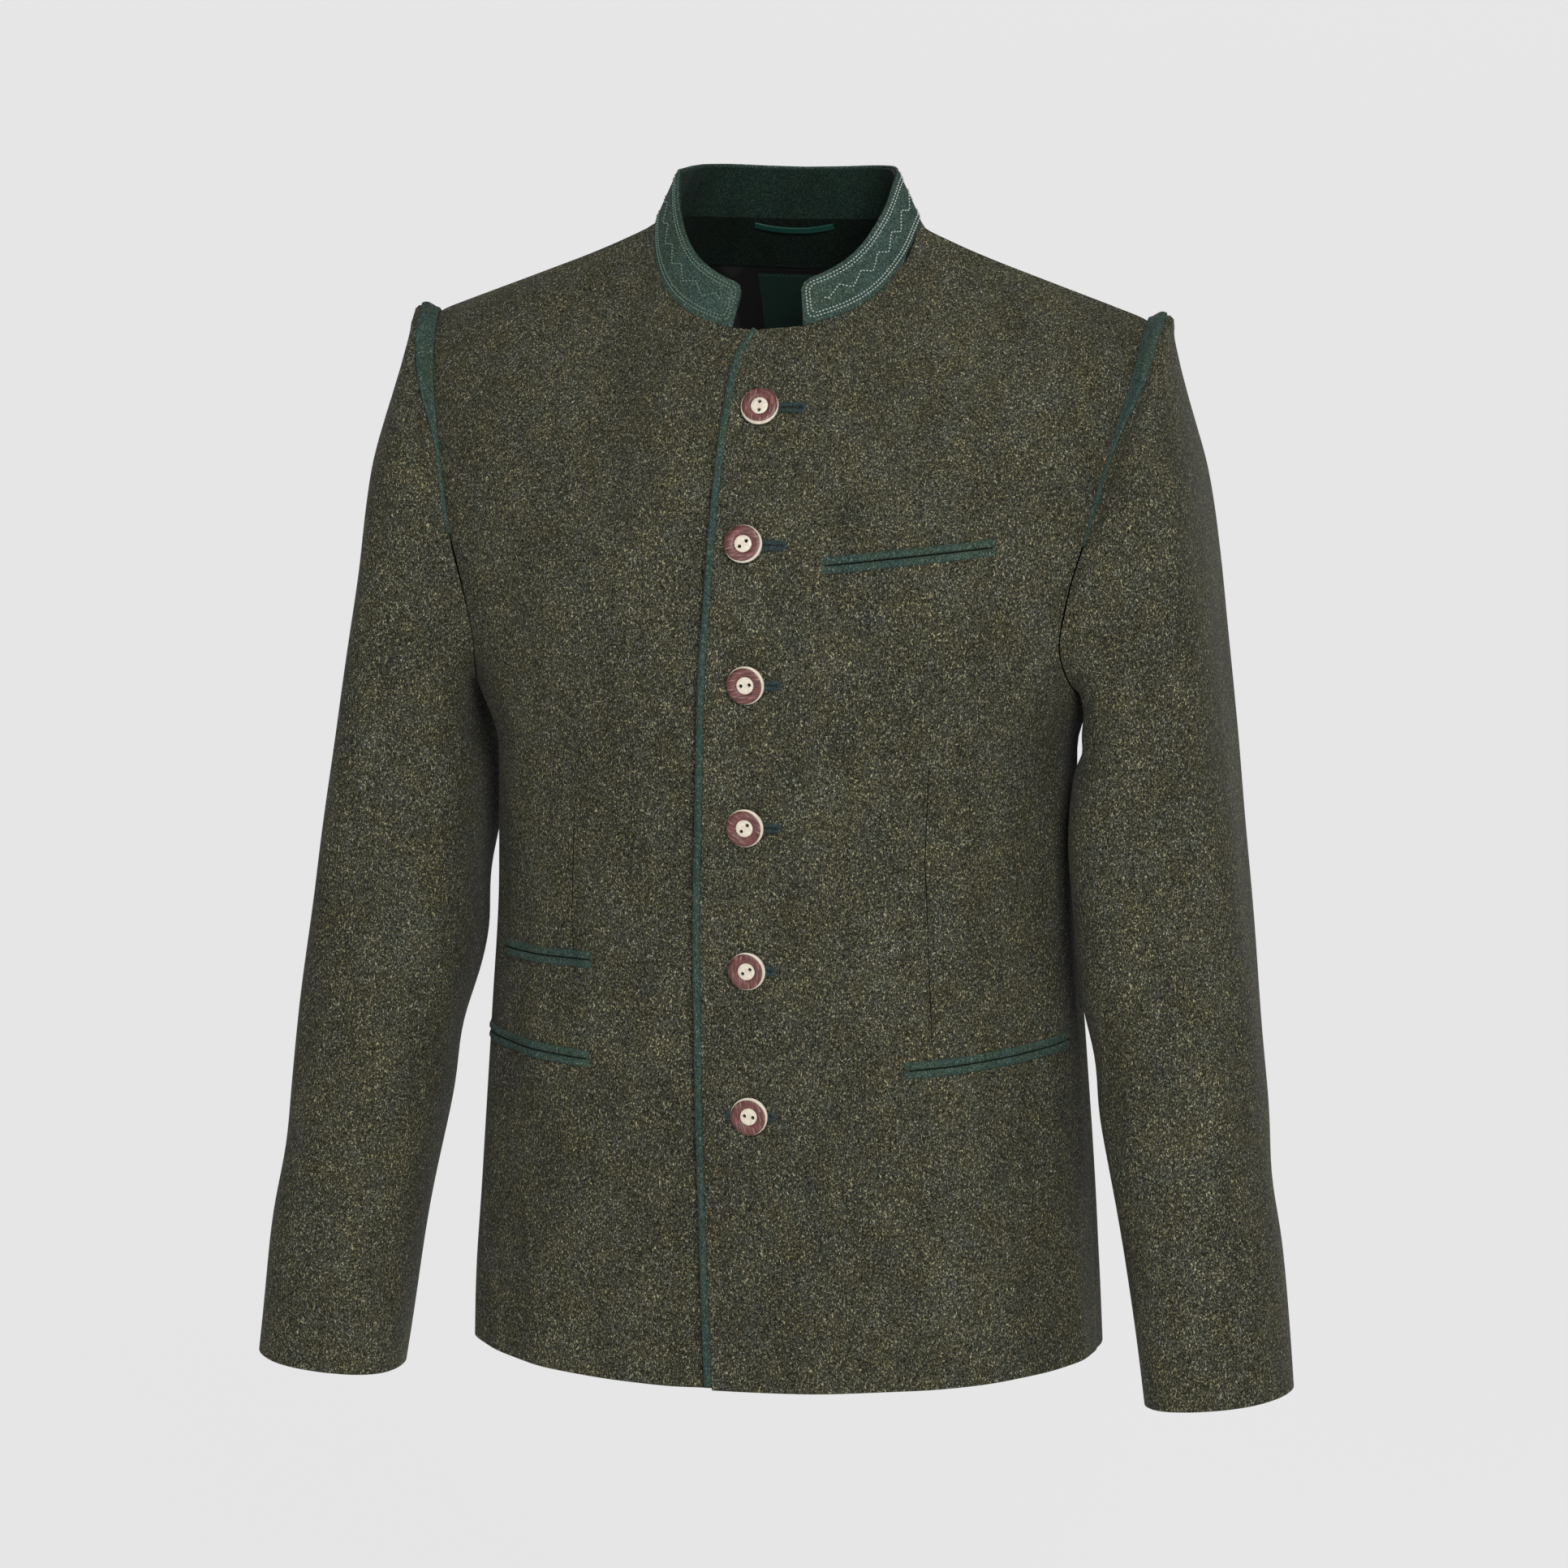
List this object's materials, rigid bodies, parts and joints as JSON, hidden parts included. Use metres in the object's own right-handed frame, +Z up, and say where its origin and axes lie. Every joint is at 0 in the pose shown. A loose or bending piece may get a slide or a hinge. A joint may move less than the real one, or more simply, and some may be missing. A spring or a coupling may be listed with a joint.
{
  "type": "trachten jacket",
  "caption": "Hollow stand-collar jacket in worn form: lapped buttoned front, double-welt pockets, felt piping, full-length sleeves, open neck, hem and cuffs.",
  "frame": {"origin": "middle of the neck hole, level with the inner ends of the shoulder seams, where a wearer's neck and shoulders hold the jacket", "axes": "+Z up, -Y towards the jacket's front, +X towards the wearer's left"},
  "size_m": [0.647, 0.2585, 0.7425],
  "materials": {
    "loden": "matte dark olive-brown melange wool with a short nap",
    "felt": "matte teal-green melange felt",
    "lining": "near-black satin lining",
    "label": "dark green woven label, left bare",
    "loop": "teal satin",
    "button": "satin imitation horn: ivory rim and middle, red-brown streaked ring"
  },
  "bodies": {
    "root": {"front_left": "loden", "front_right": "loden", "back": "loden", "sleeve_top_left": "loden", "sleeve_under_left": "loden", "sleeve_top_right": "loden", "sleeve_under_right": "loden", "armhole_piping_left": "felt", "armhole_piping_right": "felt", "edge_piping": "felt", "collar": "felt", "collar_inner": "felt", "neck_facing": "felt", "chest_pocket_upper_welt": "felt", "chest_pocket_lower_welt": "felt", "hip_pocket_left_upper_welt": "felt", "hip_pocket_left_lower_welt": "felt", "hip_pocket_right_upper_welt": "felt", "hip_pocket_right_lower_welt": "felt", "ticket_pocket_upper_welt": "felt", "ticket_pocket_lower_welt": "felt", "buttonhole_1": "felt", "buttonhole_2": "felt", "buttonhole_3": "felt", "buttonhole_4": "felt", "buttonhole_5": "felt", "buttonhole_6": "felt", "back_lining": "lining", "neck_label": "label", "hanger_loop": "loop", "button_1": "button", "button_2": "button", "button_3": "button", "button_4": "button", "button_5": "button", "button_6": "button"}
  },
  "joints": []
}
